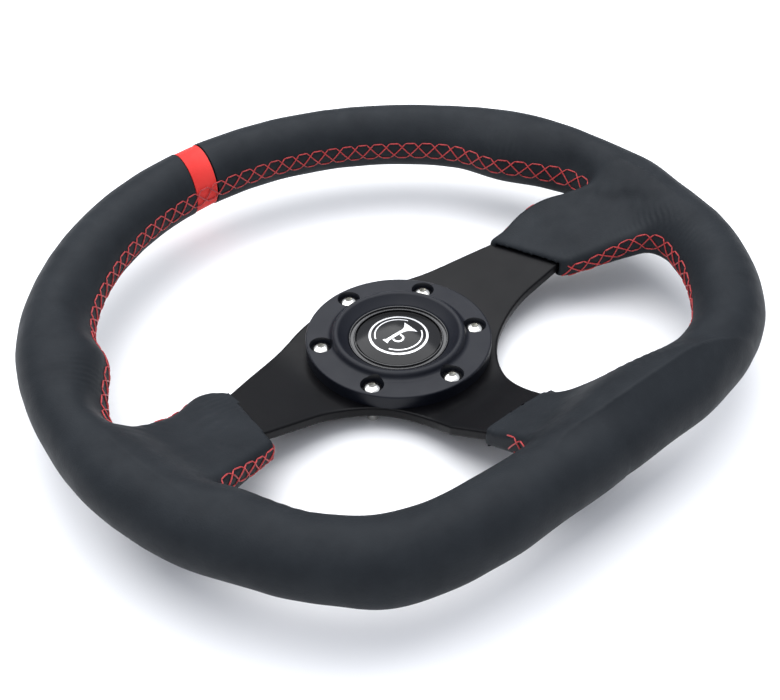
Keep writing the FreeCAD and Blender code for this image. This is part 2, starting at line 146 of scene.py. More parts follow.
FOOT_LEAN = 0.72
MOUTH_RIGHT = (76.8, 19.7, -0.27, 0.96)       # boot edge: x, y, how x grows with y, and its cosine
MOUTH_LEFT = (81.5, 14.3, -0.135, 0.99)
MOUTH_FOOT = 74.5
MOUTH_ROUND = 1.2
GAP = 1.0                # dark gap between a boot and the plate
GAP_DEPTH = 5.0
SLOT_SIDE_SPARE = 0.3    # how far the slot for the plate clears its edges
SLOT_FOOT_SPARE = 0.4
SLOT_START = 60.0        # the slots lie beyond this distance from the steering axis
NO_SLOT = 50.0           # field where there is no slot
LEATHER_T = 1.3
CORE_SPARE = 0.15        # glue line between leather and foam

# ---- panels ---------------------------------------------------------------------------------
GRIP_VOXEL = 0.85
BAND_HALF = 6.5
BAND_AT = (-9.0, 144.0)
BAND_LEAN = math.radians(-8.0)
BAND_GAP = 0.4           # open seam on each side of the band
BAND_SUNK = 0.35         # how far the band lies below the leather, and its thickness
BAND_T = 1.1
SEAM_Y = 46.0
LOWER_SEAM_Y = -78.0
FOOT_PANEL = (40.0, -66.0)             # the lower panel takes in the bottom boot, inside these x and y
CORE_VOXEL = 1.8

# creases in the leather: plan centre, lean (degrees), length, width, pitch and depth
FOLDS = [
    (-88.0, 8.0, 12.0, 11.0, 8.0, 2.5, 0.20),
    (-101.0, -2.0, 25.0, 9.0, 8.0, 5.0, 0.14),
    (-128.0, 9.0, -35.0, 10.0, 9.0, 4.2, 0.14),
    (-134.0, 44.0, 160.0, 7.0, 9.0, 3.0, 0.14),
    (116.0, 56.0, 30.0, 8.0, 12.0, 3.1, 0.18),
    (122.0, -35.0, 52.0, 6.5, 15.0, 2.3, 0.17),
    (90.0, -18.0, 48.0, 7.0, 8.0, 2.4, 0.14),
    (124.0, -58.0, 165.0, 8.0, 13.0, 2.8, 0.20),
    (127.0, -8.0, -68.0, 30.0, 5.0, 17.0, 0.5),
    (136.0, -22.0, 20.0, 12.0, 9.0, 6.0, 0.12),
    (40.0, -100.0, 60.0, 8.0, 12.0, 3.6, 0.12),
    (-26.0, -92.0, -70.0, 7.0, 7.0, 3.0, 0.14),
    (60.0, -116.0, 20.0, 12.0, 12.0, 5.5, 0.10),
    (-112.0, -70.0, 30.0, 12.0, 12.0, 6.0, 0.10),
]
FOLD_FACING = (1.5, 0.3)               # creases fade from the upper face to the underside
FOLD_BENDS = [(0.6, 0.31), (0.35, 0.83)]      # how each crease wanders: amount and rate per mm
FOLD_SINK = 0.4          # how far a crease's waves are sunk, as a share of its depth
WAVE_DEEP = 0.10         # slow unevenness of the whole grip: depth, rates per mm and their own waver
WAVE_X = (0.19, 1.3, 0.11)
WAVE_Y = (0.23, 1.1, 0.13)

# ---- spoke plate -----------------------------------------------------------------------------
PLATE_VOXEL = 0.8
PLATE_LOW = (-158.0, -128.0, -2.0)     # box that holds the plate
PLATE_HIGH = (158.0, 158.0, 34.0)
PLATE_ROUND = 1.0
DISH_LEAN = 0.95         # cosine of the dished spokes' slope
DISH_SOFT = 4.0
DISH_SIDE = (1.6, 40.0)                # how the bottom spoke's dish gives way to the side spokes'
WELL_INSIDE = -30.0      # field where only the lower edges count
HOOP_OFF = 0.5           # hoop inside the rim: offset, half width and height
HOOP_HALF = 7.5
HOOP_Z = 27.5
PLATE_STOP = 6.0         # how far outside the rim's centreline the spokes end
TOP_ARC_R = 85.0
TOP_Y = 43.0
TOP_JOIN_X = 36.0
TOP_SWELL = 0.6
SHOULDER_END = 86.0
SPOKE_TOP_Y = 17.0
SPOKE_TOP_LEFT = 12.2
HOLLOW_START = 100.0     # the spoke ends narrow here, inside the boots
HOLLOW_RUN = 12.0
HOLLOW_DEEP = 9.0
SPOKE_LOW_Y = -15.0
FOOT_LEFT = 22.5         # half widths of the bottom spoke and the arcs beside it
FOOT_RIGHT = 16.0
FOOT_TAPER = 4.4         # how much the left side narrows, where it starts and over what length
TAPER_START = 58.0
TAPER_RUN = 18.0
ARC_LEFT = 37.0
ARC_RIGHT = 54.0
HUB_HOLE_R = 25.0
PCD_R = 35.0
BOLTS = 6
SCREW_HOLE_R = 2.75

# ---- lacing ----------------------------------------------------------------------------------
PITCH = 8.9              # from one stitch to the next
SLANT = 0.95             # how far a strand runs along the seam as it crosses it, in pitches
LACE_HALF = 4.2
LACE_HALF_BOOT = 3.2
LACE_RUN = 18.0          # the lacing narrows over this distance from the rim
THREAD_R = 0.32
THREAD_SIDES = 7
THREAD_POINTS = 9        # points along one strand
THREAD_TIP = 0.55        # how much thinner a strand's ends are
THREAD_LIFT = (0.25, 0.55, 0.3)        # lift at the ends, between them, and more for the upper strand
SEAM_STEP = 0.5
SEAM_ROUNDS = 8          # smoothing rounds
SEAM_RAYS = 900
SEAM_REACH = (4.0, 220.0)
NORMAL_STEP = 0.4        # reach over which the surface's slope is taken
# each seam is found by rays: name, origin in plan, first and last angle (degrees)
SEAMS = [
    ("lacing_upper", (0.0, 80.0), -37.0, 218.0),
    ("lacing_right", (70.0, -55.0), 66.0, -157.0),
    ("lacing_left", (-70.0, -55.0), 114.0, 337.0),
]

# ---- sheet that the seams lie in -------------------------------------------------------------
PARTING_RUN = 34.0       # distance from the rim over which it drops to the boots' middle
PARTING_RIM = 0.8        # how far below the rim's and the boots' middle it lies
PARTING_BOOT = 0.6
PARTING_FOOT = 1.8       # lower still, on the right of the bottom boot
PARTING_LOW = (3.5, 66.0, 20.0)        # drop along the flat of the rim: depth, start, length
FOOT_AREA = (60.0, -40.0)              # the bottom boot lies inside these x and y

# ---- emblem on the push cap ------------------------------------------------------------------
CAP_R = 18.75
CAP_EDGE_Z = 9.9
CAP_APEX_Z = 12.3
INLAY_PROUD = 0.06
INLAY_DEEP = 0.12
RING_IN = 10.3
RING_OUT = 10.9

# ---- camera ----------------------------------------------------------------------------------
LENS = 56.55             # millimetres, on a sensor 36 mm wide
SENSOR = 36.0
DISTANCE = 547.29        # from the middle of the hub's top, along the view
ELEVATION = math.radians(40.234)
AZIMUTH = math.radians(-40.398)
ROLL = math.radians(-0.8025)
HUB_ASIDE = 3.806        # how far the hub lies to the right of the camera's axis, and above it
HUB_ABOVE = 6.852
HUB_TOP_Z = 11.5
CLIP = (0.01, 20.0)      # metres

# ---- studio, in metres -------------------------------------------------------------------------
FLOOR_SIZE = 40.0
FLOOR_Z = -0.0081
SOFTBOX_AT = (0.1, 0.35, 1.2)
SOFTBOX_UP = (0.0, 1.0, 0.01)
SOFTBOX_SIZE = 1.8
SOFTBOX_POWER = 27.0
HORIZON = (0.05, (0.13, 0.135, 0.145))        # place on the world's ramp and colour
ZENITH = (0.75, (1.20, 1.25, 1.37))

# ---- materials -----------------------------------------------------------------------------------
FADE = (0.3, 0.7)        # middle range of a noise
# CAD nodes that stay, by the finish they get
NODE_FINISH = {
    "ring": ["horn_ring"],
    "steel": ["hub_screws"],
    "plastic": ["horn_cup", "insulator_ring"],
    "rubber": ["cup_o_ring"],
    "trim": ["horn_bezel"],
    "brass": ["fixed_contact", "moving_contact", "signal_terminal", "ground_terminal", "terminal_rivets"],
    "spring": ["spring_seat"],
    "cap": ["horn_cap", "emblem_disc"],
    "silver": ["emblem_ring"],
}

# ---- meshing -------------------------------------------------------------------------------------
STRIDE = 4               # voxels in a cell of the coarse grid
NEAR = 2.2               # cells this near the surface are sampled finely
EDGE_VALUE = 4.0         # field beyond them, in voxels
LEAST_SLOPE = 0.05       # keeps the steps short where the field is flat


# ==== implicit shapes ===========================================================================

def gauss(t, spread):
    return np.exp(-(t / spread) ** 2)


def smooth_min(a, b, k):
    h = np.clip(0.5 + 0.5 * (b - a) / k, 0.0, 1.0)
    return b + (a - b) * h - k * h * (1.0 - h)


def smooth_max(a, b, k):
    return -smooth_min(-a, -b, k)


def softplus(t, soft):
    return soft * np.logaddexp(0.0, t / soft)


def soft_step(t, soft):
    """From 0 to 1 as t passes 0."""
    return 1.0 / (1.0 + np.exp(-t / soft))


def ramp_up(t, run):
    return np.clip(t / run, 0.0, 1.0)


def hump(s, shape):
    height, at, spread = shape
    return height * gauss(s - at, spread)


def by_side(x, pair):
    """The left or the right one of a pair."""
    return np.where(x > 0.0, pair[1], pair[0])


def side_middle(s):
    """Height of the middle of a side spoke, at a distance from the hub."""
    return PLATE_T / 2 + SIDE_SLOPE * (s - FLAT_R)


def foot_middle(y):
    return PLATE_T / 2 + FOOT_SLOPE * (-y - FLAT_R)


def turn_between(angle, centre):
    """Signed difference of two angles in degrees, wrapped to plus or minus 180."""
    return (angle - centre + 180.0) % 360.0 - 180.0


def off_centreline(x, y):
    """Distance outward from the rim's centreline, in plan."""
    side = np.abs(x)
    around = np.arctan2(y, side)
    main = np.hypot(x, y) - RIM_R
    corner = np.hypot(side - CORNER_X, y - CORNER_Y) - CORNER_R
    flat = -y - RIM_FLAT
    out = np.where(around < CORNER_TURN, corner, main)
    return np.where((side < CORNER_X) & (y < CORNER_Y), flat, out)


def station(x, y):
    return np.degrees(np.arctan2(y, np.abs(x)))


def rim_field(x, y, z):
    """The leather-covered tube, with the hand grips' bumps and hollows."""
    phi = station(x, y)
    shift = sum(amount * gauss(phi - at, spread) for at, spread, amount in SHIFTS)
    out = off_centreline(x, y) - shift
    up = z - RIM_Z
    section = np.degrees(np.arctan2(up, out))
    radius = TUBE_R
    for at, spread, amount, facing, wide, side in BUMPS:
        here = gauss(phi - at, spread) * gauss(turn_between(section, facing), wide)
        radius = radius + amount * here * (side * x >= 0)
    return np.hypot(out, up) - radius


def rounded(d_side, d_up, round_r):
    """Box section from its two signed distances, with rounded edges."""
    a = d_side + round_r
    b = d_up + round_r
    return np.hypot(np.maximum(a, 0.0), np.maximum(b, 0.0)) + np.minimum(np.maximum(a, b), 0.0) - round_r


def boot_section(d_side, z, middle, above, below):
    """Rounded box of the given thickness above and below the plate's middle."""
    half = (above + below) / 2
    centre = middle + (above - below) / 2
    return rounded(d_side, np.abs(z - centre) - half, BOOT_ROUND * half)


def boot_top_right(s):
    depth, at, soft = DIP_RIGHT
    return BOOT_TOP[1] + hump(s, HUMP_RIGHT) + hump(s, LIP_RIGHT) - depth * soft_step(s - at, soft)


def boot_top_left(s):
    return BOOT_TOP[0] + hump(s, HUMP_LEFT)


def side_boot_field(x, y, z):
    """Sleeve over a side spoke: humped above with a hollow by the rim, flared below."""
    s = np.abs(x)
    swell = softplus(s - BOOT_SWELL[0], BOOT_SWELL[1])
    above = by_side(x, BOOT_ABOVE) + SWELL_ABOVE * swell
    below = BOOT_BELOW + SWELL_BELOW * swell
    high = np.where(x > 0.0, boot_top_right(s), boot_top_left(s))
    low = by_side(x, BOOT_LOW) - by_side(x, BOOT_FLARE) * softplus(s - FLARE_START[0], FLARE_START[1])
    d_side = np.maximum((y - high) * TOP_LEAN, (low - y) * LOW_LEAN)
    return boot_section(d_side, z, side_middle(s), above, below)


def foot_boot_field(x, y, z):
    """Sleeve over the bottom spoke, flaring into the flat of the rim on its right."""
    above = FOOT_ABOVE + FOOT_SWELL_RATE * softplus(-y - FOOT_SWELL[0], FOOT_SWELL[1])
    right = (x - FOOT_EDGE[1] - softplus(-y - FOOT_FLARE[0], FOOT_FLARE[1])) * FOOT_LEAN
    left = -x - FOOT_EDGE[0]
    return boot_section(np.maximum(right, left), z, foot_middle(y), above, FOOT_BELOW)


def mouth_field(x, y):
    """Positive on the hub's side of the edges of the side boots and of the bottom boot."""
    sides = []
    for at_x, at_y, lean, cosine in (MOUTH_LEFT, MOUTH_RIGHT):
        sides.append((at_x + lean * (y - at_y) - np.abs(x)) * cosine)
    return by_side(x, sides), y + MOUTH_FOOT


def plate_height(x, y):
    """Height of the back of the spoke plate: flat at the hub, then a soft bend up to the rim."""
    s = np.abs(x)
    low = softplus(-y - FLAT_R, DISH_SOFT) * FOOT_SLOPE
    wide = softplus(s - FLAT_R, DISH_SOFT) * SIDE_SLOPE
    return np.maximum(low * np.clip(DISH_SIDE[0] - s / DISH_SIDE[1], 0.0, 1.0), wide)


def boot_of(sleeve, mouth, out):
    """A sleeve, cut at its mouth and ended inside the rim."""
    return np.maximum(smooth_max(sleeve, mouth, MOUTH_ROUND * 2), out + BOOT_STOP)


def plate_slots(x, y, z, side_mouth, foot_mouth):
    """Room for the plate in the mouths of the boots."""
    s = np.abs(x)
    edges = np.maximum(y - SPOKE_TOP_Y - SLOT_SIDE_SPARE, SPOKE_LOW_Y - GAP - y)
    side = np.maximum(np.abs(z - side_middle(s)) - PLATE_T / 2 - GAP, edges)
    side = np.maximum(side, -side_mouth - GAP_DEPTH)
    side = np.where(s > SLOT_START, side, NO_SLOT)
    edges = s - foot_half(x, y) - SLOT_FOOT_SPARE
    foot = np.maximum(np.abs(z - foot_middle(y)) - PLATE_T / 2 - GAP, edges)
    foot = np.maximum(foot, -foot_mouth - GAP_DEPTH)
    foot = np.where(y < -SLOT_START, foot, NO_SLOT)
    return np.minimum(side, foot)


def grip_field(x, y, z):
    """Outside of the leather: the rim, blended into its three boots."""
    out = off_centreline(x, y)
    side_mouth, foot_mouth = mouth_field(x, y)
    side_boot = boot_of(side_boot_field(x, y, z), side_mouth, out)
    foot_boot = boot_of(foot_boot_field(x, y, z), foot_mouth, out)
    at, soft = BLEND_SIDE
    blend = BLEND_TOP + (BLEND_LOW - BLEND_TOP) * soft_step(at - y, soft)
    whole = smooth_min(rim_field(x, y, z), side_boot, blend)
    at, soft = BLEND_UNDER
    blend = BLEND_FOOT + (BLEND_FOOT_RIGHT - BLEND_FOOT) * soft_step(x - at, soft)
    whole = smooth_min(whole, foot_boot, blend)
    return np.maximum(whole, -plate_slots(x, y, z, side_mouth, foot_mouth))


def foot_half(x, y):
    """Half width of the bottom spoke; its left side narrows towards the rim."""
    left = FOOT_LEFT - FOOT_TAPER * ramp_up(-y - TAPER_START, TAPER_RUN)
    return np.where(x > 0.0, FOOT_RIGHT, left)


def shoulder_field(x, y):
    """Distance above the edge that runs from the crown out along a side spoke."""
    s = np.abs(x)
    join_y = TOP_Y - TOP_ARC_R + math.sqrt(TOP_ARC_R ** 2 - TOP_JOIN_X ** 2)
    run = SHOULDER_END - TOP_JOIN_X
    t = ramp_up(s - TOP_JOIN_X, run)
    end_y = by_side(x, (SPOKE_TOP_LEFT, SPOKE_TOP_Y))
    chord = join_y + (end_y - join_y) * t + 4.0 * TOP_SWELL * t * (1.0 - t)
    chord = chord - HOLLOW_DEEP * ramp_up(s - HOLLOW_START, HOLLOW_RUN)
    return (y - chord) / math.hypot(1.0, (join_y - SPOKE_TOP_Y) / run)


def plate_plan_field(x, y):
    """Plan distance to the outline of the spoke plate, negative inside."""
    s = np.abs(x)
    crown = np.hypot(x, y - (TOP_Y - TOP_ARC_R)) - TOP_ARC_R
    crown = np.where(y > 0.0, crown, WELL_INSIDE)
    top = np.where(s < TOP_JOIN_X, crown, shoulder_field(x, y))
    arc_r = by_side(x, (ARC_LEFT, ARC_RIGHT))
    arc_x = by_side(x, (FOOT_LEFT, FOOT_RIGHT)) + arc_r
    arc_y = SPOKE_LOW_Y - arc_r
    scoop = arc_r - np.hypot(s - arc_x, y - arc_y)
    inner = np.where(y < arc_y, s - foot_half(x, y), scoop)
    return np.maximum(top, np.where(s < arc_x, inner, SPOKE_LOW_Y - y))


def plate_field(x, y, z):
    """The spoke plate with its holes, and the hoop inside the rim."""
    out = off_centreline(x, y)
    plan = np.maximum(plate_plan_field(x, y), out - PLATE_STOP)
    plan = np.maximum(plan, HUB_HOLE_R - np.hypot(x, y))
    for i in range(BOLTS):
        a = math.pi / 2 + 2 * math.pi * i / BOLTS
        hole = SCREW_HOLE_R - np.hypot(x - PCD_R * math.cos(a), y - PCD_R * math.sin(a))
        plan = np.maximum(plan, hole)
    half = PLATE_T / 2
    level = (np.abs(z - plate_height(x, y) - half) - half) * DISH_LEAN
    hoop = np.maximum(np.abs(out + HOOP_OFF) - HOOP_HALF, np.abs(z - HOOP_Z) - half)
    return np.minimum(rounded(plan, level, PLATE_ROUND), hoop)


# ==== meshing =====================================================================================

def spread_out(coarse, counts):
    """A coarse grid's values, repeated onto the fine grid and centred on the coarse points."""
    fine = coarse.repeat(STRIDE, 0).repeat(STRIDE, 1).repeat(STRIDE, 2)
    fine = np.roll(fine, (-(STRIDE // 2),) * 3, (0, 1, 2))
    return fine[:counts[0], :counts[1], :counts[2]]


def march(field, low, high, voxel):
    """Points and quads of the surface field = 0, from a grid sampled near it."""
    counts = [int(math.ceil((b - a) / voxel)) + 1 for a, b in zip(low, high)]
    axes = [a + voxel * STRIDE * np.arange(n // STRIDE + 2) for a, n in zip(low, counts)]
    rough = field(*np.meshgrid(*axes, indexing="ij"))
    near = spread_out(np.abs(rough) < voxel * STRIDE * NEAR, counts)
    values = spread_out(np.sign(rough), counts) * EDGE_VALUE * voxel
    spots = np.argwhere(near) * voxel + np.array(low)
    values[near] = field(*spots.T)
    volume = openvdb.FloatGrid(background=EDGE_VALUE * voxel)
    volume.copyFromArray(np.ascontiguousarray(values, dtype=np.float32))
    points, quads = volume.convertToQuads(isovalue=0.0)
    return points.astype(float) * voxel + np.array(low), quads


def slope_of(field, p, step=0.05):
    """Gradient of the field at the points, by central differences."""
    out = np.empty_like(p)
    for axis in range(3):
        shift = np.zeros(3)
        shift[axis] = step
        ahead = field(*(p + shift).T)
        behind = field(*(p - shift).T)
        out[:, axis] = (ahead - behind) / (2 * step)
    return out


def settle(field, p, rounds=3, most=0.8):
    """Moves the points onto the surface of the field."""
    for _ in range(rounds):
        g = slope_of(field, p)
        size = np.maximum((g ** 2).sum(1), LEAST_SLOPE)
        move = g * (field(*p.T) / size)[:, None]
        length = np.linalg.norm(move, axis=1)
        p = p - move * np.minimum(1.0, most / np.maximum(length, 1e-9))[:, None]
    return p


def unit(vectors):
    return vectors / np.linalg.norm(vectors, axis=1)[:, None]


def shifted(faces, by):
    """The same faces with their vertex numbers moved up."""
    return [tuple(v + by for v in face) for face in faces]


def joined(parts):
    """One list of points and one of faces from a list of such pairs."""
    faces = []
    total = 0
    for p, f in parts:
        faces += shifted(f, total)
        total += len(p)
    return np.concatenate([p for p, _ in parts]), faces


def walls_between(faces, step):
    """Quads that join the open border of the faces to its copy, step vertex numbers up."""
    edges = {(a, b): True for f in faces for a, b in zip(f, f[1:] + f[:1])}
    return [(b, a, a + step, b + step) for a, b in edges if (b, a) not in edges]


def ride_on(piece, body, slot, *replaced):
    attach(piece, body)
    if replaced:
        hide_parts(*replaced)


def mesh_object(name, points, faces, material, normals=None):
    """Mesh object from points in millimetres."""
    data = bpy.data.meshes.new(name)
    data.from_pydata((np.asarray(points) * MM).tolist(), [], [list(f) for f in faces])
    data.validate()
    data.update()
    data.polygons.foreach_set("use_smooth", [True] * len(data.polygons))
    if normals is not None:
        data.normals_split_custom_set_from_vertices(normals.tolist())
    data.materials.append(material)
    o = bpy.data.objects.new(name, data)
    bpy.context.scene.collection.objects.link(o)
    return o


def cut_mesh(points, quads, planes):
    """The marched mesh with edges added along the planes."""
    data = bpy.data.meshes.new("cutting")
    data.from_pydata(points.tolist(), [], quads.tolist())
    data.update()
    work = bmesh.new()
    work.from_mesh(data)
    for spot, normal in planes:
        geometry = work.verts[:] + work.edges[:] + work.faces[:]
        bmesh.ops.bisect_plane(work, geom=geometry, dist=1e-4, plane_co=spot, plane_no=normal)
    work.to_mesh(data)
    work.free()
    co = np.empty(len(data.vertices) * 3)
    data.vertices.foreach_get("co", co)
    faces = [tuple(p.vertices) for p in data.polygons]
    bpy.data.meshes.remove(data)
    return co.reshape(-1, 3), faces


def vertex_normals(points, faces):
    data = bpy.data.meshes.new("normals")
    data.from_pydata(points.tolist(), [], faces)
    data.update()
    out = np.empty(len(data.vertices) * 3)
    data.vertex_normals.foreach_get("vector", out)
    bpy.data.meshes.remove(data)
    return out.reshape(-1, 3)


def thick_panel(name, points, normals, faces, thick, material):
    """Closed panel: the chosen faces, a copy of them pushed inward and a wall along the border."""
    used = sorted({v for f in faces for v in f})
    new_index = {v: i for i, v in enumerate(used)}
    outer = [tuple(new_index[v] for v in f) for f in faces]
    p = points[used]
    facing = normals[used]
    inner = shifted([f[::-1] for f in outer], len(used))
    everything = np.concatenate([p, p - facing * thick])
    shade = np.concatenate([facing, -facing])
    return mesh_object(name, everything, outer + inner + walls_between(outer, len(used)), material, shade)


# ==== materials ===================================================================================

class Nodes:
    """Short way to build a material's node tree."""

    def __init__(self, name):
        self.material = bpy.data.materials.new(name)
        self.material.use_nodes = True
        self.tree = self.material.node_tree
        self.shader = self.tree.nodes["Principled BSDF"]
        self.place = self.new("ShaderNodeTexCoord").outputs["Object"]

    def new(self, kind, **values):
        node = self.tree.nodes.new(kind)
        for key, value in values.items():
            setattr(node, key, value)
        return node

    def link(self, out, socket):
        self.tree.links.new(out, socket)

    def noise(self, scale, detail=3.0, rough=0.55):
        node = self.new("ShaderNodeTexNoise")
        node.inputs["Scale"].default_value = scale
        node.inputs["Detail"].default_value = detail
        node.inputs["Roughness"].default_value = rough
        self.link(self.place, node.inputs["Vector"])
        return node.outputs["Fac"]

    def pebbles(self, scale, smooth):
        node = self.new("ShaderNodeTexVoronoi", feature="SMOOTH_F1")
        node.inputs["Scale"].default_value = scale
        node.inputs["Smoothness"].default_value = smooth
        self.link(self.place, node.inputs["Vector"])
        return node.outputs["Distance"]

    def span(self, value, to_low, to_high):
        """The value's middle range, mapped to the given one."""
        node = self.new("ShaderNodeMapRange")
        numbers = {"From Min": FADE[0], "From Max": FADE[1], "To Min": to_low, "To Max": to_high}
        for key, number in numbers.items():
            node.inputs[key].default_value = number
        self.link(value, node.inputs["Value"])
        return node.outputs["Result"]

    def colour(self, value, low, high):
        """Base colour that runs from one colour to the other; low and high are place and colour."""
        node = self.new("ShaderNodeValToRGB")
        for element, (at, shade) in zip(node.color_ramp.elements, (low, high)):
            element.position = at
            element.color = (*shade, 1.0)
        self.link(value, node.inputs["Fac"])
        self.link(node.outputs["Color"], self.shader.inputs["Base Color"])

    def roughness(self, value, low, high):
        self.link(self.span(value, low, high), self.shader.inputs["Roughness"])

    def weighed(self, parts):
        """Sum of the values, each times its weight."""
        total = None
        for value, weight in parts:
            node = self.new("ShaderNodeMath", operation="MULTIPLY_ADD")
            self.link(value, node.inputs[0])
            node.inputs[1].default_value = weight
            node.inputs[2].default_value = 0.0
            if total is not None:
                self.link(total, node.inputs[2])
            total = node.outputs["Value"]
        return total

    def bump(self, height, strength, distance):
        node = self.new("ShaderNodeBump")
        node.inputs["Strength"].default_value = strength
        node.inputs["Distance"].default_value = distance
        self.link(height, node.inputs["Height"])
        self.link(node.outputs["Normal"], self.shader.inputs["Normal"])

    def set(self, **values):
        for key, value in values.items():
            self.shader.inputs[key.replace("_", " ")].default_value = value


def leather(name, dark, light, rough):
    """Smooth dyed leather: fine pebble grain, pores and a slow change of shade."""
    m = Nodes(name)
    m.colour(m.noise(scale=55.0, detail=4.0, rough=0.6), (0.30, dark), (0.70, light))
    pebble = m.pebbles(scale=1250.0, smooth=0.35)
    fine = m.noise(scale=2600.0, detail=2.0, rough=0.6)
    crinkle = m.noise(scale=230.0, detail=3.0, rough=0.5)
    height = m.weighed([(pebble, 0.55), (fine, 0.25), (crinkle, 0.8)])
    m.bump(height, strength=0.35, distance=0.00022)
    m.roughness(m.noise(scale=140.0, detail=3.0), rough - 0.05, rough + 0.06)
    m.set(Specular_IOR_Level=0.08)
    return m.material


def satin_metal(name, dark, light, rough, metallic=0.0, bump=0.10, shine=0.5):
    """Anodised or coated metal with a fine blasted surface."""
    m = Nodes(name)
    m.colour(m.noise(scale=40.0, detail=4.0), (0.3, dark), (0.7, light))
    m.roughness(m.noise(scale=90.0, detail=4.0), rough - 0.04, rough + 0.05)
    m.bump(m.noise(scale=3600.0, detail=2.0, rough=0.6), strength=bump, distance=0.00006)
    m.set(Metallic=metallic, Specular_IOR_Level=shine)
    return m.material


def moulded(name, dark, light, rough, coat=0.0, shine=0.5):
    """Moulded plastic or rubber, with a coat if it is glossy."""
    m = Nodes(name)
    m.colour(m.noise(scale=60.0, detail=3.0), (0.3, dark), (0.7, light))
    m.roughness(m.noise(scale=160.0, detail=3.0), rough - 0.03, rough + 0.04)
    m.bump(m.noise(scale=900.0, detail=3.0), strength=0.06, distance=0.00005)
    m.set(Coat_Weight=coat, Coat_Roughness=0.06, Specular_IOR_Level=shine)
    return m.material


def thread_material():
    m = Nodes("waxed_red_thread")
    m.colour(m.noise(scale=900.0, detail=2.0), (0.3, (0.26, 0.006, 0.009)), (0.75, (0.50, 0.020, 0.022)))
    m.bump(m.noise(scale=5200.0, detail=2.0), strength=0.5, distance=0.0001)
    m.set(Roughness=0.5, Sheen_Weight=0.15)
    return m.material


# ==== pieces ======================================================================================

def beside_band(x, y):
    """Distance to the right of the band's middle line."""
    return (x - BAND_AT[0]) * math.cos(BAND_LEAN) + (y - BAND_AT[1]) * math.sin(BAND_LEAN)


def panel_of(centre):
    """Which leather panel a face of the grip belongs to, or None in the seams beside the band."""
    x, y, _ = centre
    if y > SEAM_Y:
        side = beside_band(x, y)
        if abs(side) < BAND_HALF - BAND_GAP:
            return "band"
        if abs(side) < BAND_HALF + BAND_GAP:
            return None
        return "upper_right" if side > 0 else "upper_left"
    if y < LOWER_SEAM_Y or (abs(x) < FOOT_PANEL[0] and y < FOOT_PANEL[1]):
        return "lower"
    return "side_right" if x > 0 else "side_left"


def creases(x, y, up):
    """Fans of creases where the leather was pulled round a bend."""
    total = np.zeros(len(x))
    for cx, cy, lean, length, width, pitch, deep in FOLDS:
        a = math.radians(lean)
        along = (x - cx) * math.cos(a) + (y - cy) * math.sin(a)
        across = (y - cy) * math.cos(a) - (x - cx) * math.sin(a)
        bend = sum(size * np.sin(along * rate + at) for (size, rate), at in zip(FOLD_BENDS, (cx, cy)))
        wave = np.sin(2.0 * math.pi * across / pitch + bend) - FOLD_SINK
        total += deep * up * gauss(along, length) * gauss(across, width) * wave
    return total


def unevenness(x, y):
    """Slow swelling and sinking of the whole grip."""
    rate, waver, other = WAVE_X
    along_x = np.sin(x * rate + waver * np.sin(y * other))
    rate, waver, other = WAVE_Y
    return WAVE_DEEP * along_x * np.sin(y * rate + waver * np.sin(x * other))


def grip_detail(p, normals):
    """How far the leather stands in or out of the smooth grip."""
    x, y, _ = p.T
    up = np.clip(normals[:, 2] * FOLD_FACING[0] + FOLD_FACING[1], 0.0, 1.0)
    return creases(x, y, up) + unevenness(x, y)


def panel_planes():
    """Planes that the grip is cut along: two level seams and both sides of the seams of the band."""
    planes = [((0, y, 0), (0, 1, 0)) for y in (SEAM_Y, LOWER_SEAM_Y)]
    across = (math.cos(BAND_LEAN), math.sin(BAND_LEAN), 0.0)
    for half in (-BAND_HALF, BAND_HALF):
        for gap in (-BAND_GAP, BAND_GAP):
            off = half + gap
            planes.append(((BAND_AT[0] + across[0] * off, BAND_AT[1] + across[1] * off, 0.0), across))
    return planes


def make_grip(black, red):
    """The leather panels and the red band."""
    points, quads = march(grip_field, GRIP_LOW, GRIP_HIGH, GRIP_VOXEL)
    points, faces = cut_mesh(settle(grip_field, points), quads, panel_planes())
    normals = vertex_normals(points, faces)
    points = points + normals * grip_detail(points, normals)[:, None]
    normals = vertex_normals(points, faces)
    groups = {}
    for f in faces:
        groups.setdefault(panel_of(points[list(f)].mean(0)), []).append(f)
    groups.pop(None)
    for key, members in groups.items():
        if key == "band":
            sunk = points - normals * BAND_SUNK
            band = thick_panel("red_centre_band", sunk, normals, members, BAND_T, red)
            ride_on(band, "wheel", "red_leather", "centre_band")
        else:
            panel = thick_panel("grip_leather_" + key, points, normals, members, LEATHER_T, black)
            ride_on(panel, "wheel", "black_leather", "leather_" + key)


def core_field(x, y, z):
    return grip_field(x, y, z) + LEATHER_T + CORE_SPARE


def make_foam(material):
    """Moulded foam core, one leather thickness inside the panels."""
    points, quads = march(core_field, GRIP_LOW, GRIP_HIGH, CORE_VOXEL)
    core = mesh_object("moulded_foam_core", settle(core_field, points), quads, material)
    ride_on(core, "wheel", "foam_core", "rim_core")


def make_plate(material):
    points, quads = march(plate_field, PLATE_LOW, PLATE_HIGH, PLATE_VOXEL)
    points = settle(plate_field, points)
    normals = unit(slope_of(plate_field, points))
    plate = mesh_object("dished_spoke_plate", points, quads, material, normals)
    ride_on(plate, "wheel", "black_anodised_plate", "spoke_frame")


# ==== emblem ======================================================================================

def dome_height(x, y):
    rise = CAP_APEX_Z - CAP_EDGE_Z
    ball_r = (CAP_R ** 2 + rise ** 2) / (2 * rise)
    return CAP_APEX_Z - ball_r + np.sqrt(ball_r ** 2 - x ** 2 - y ** 2)


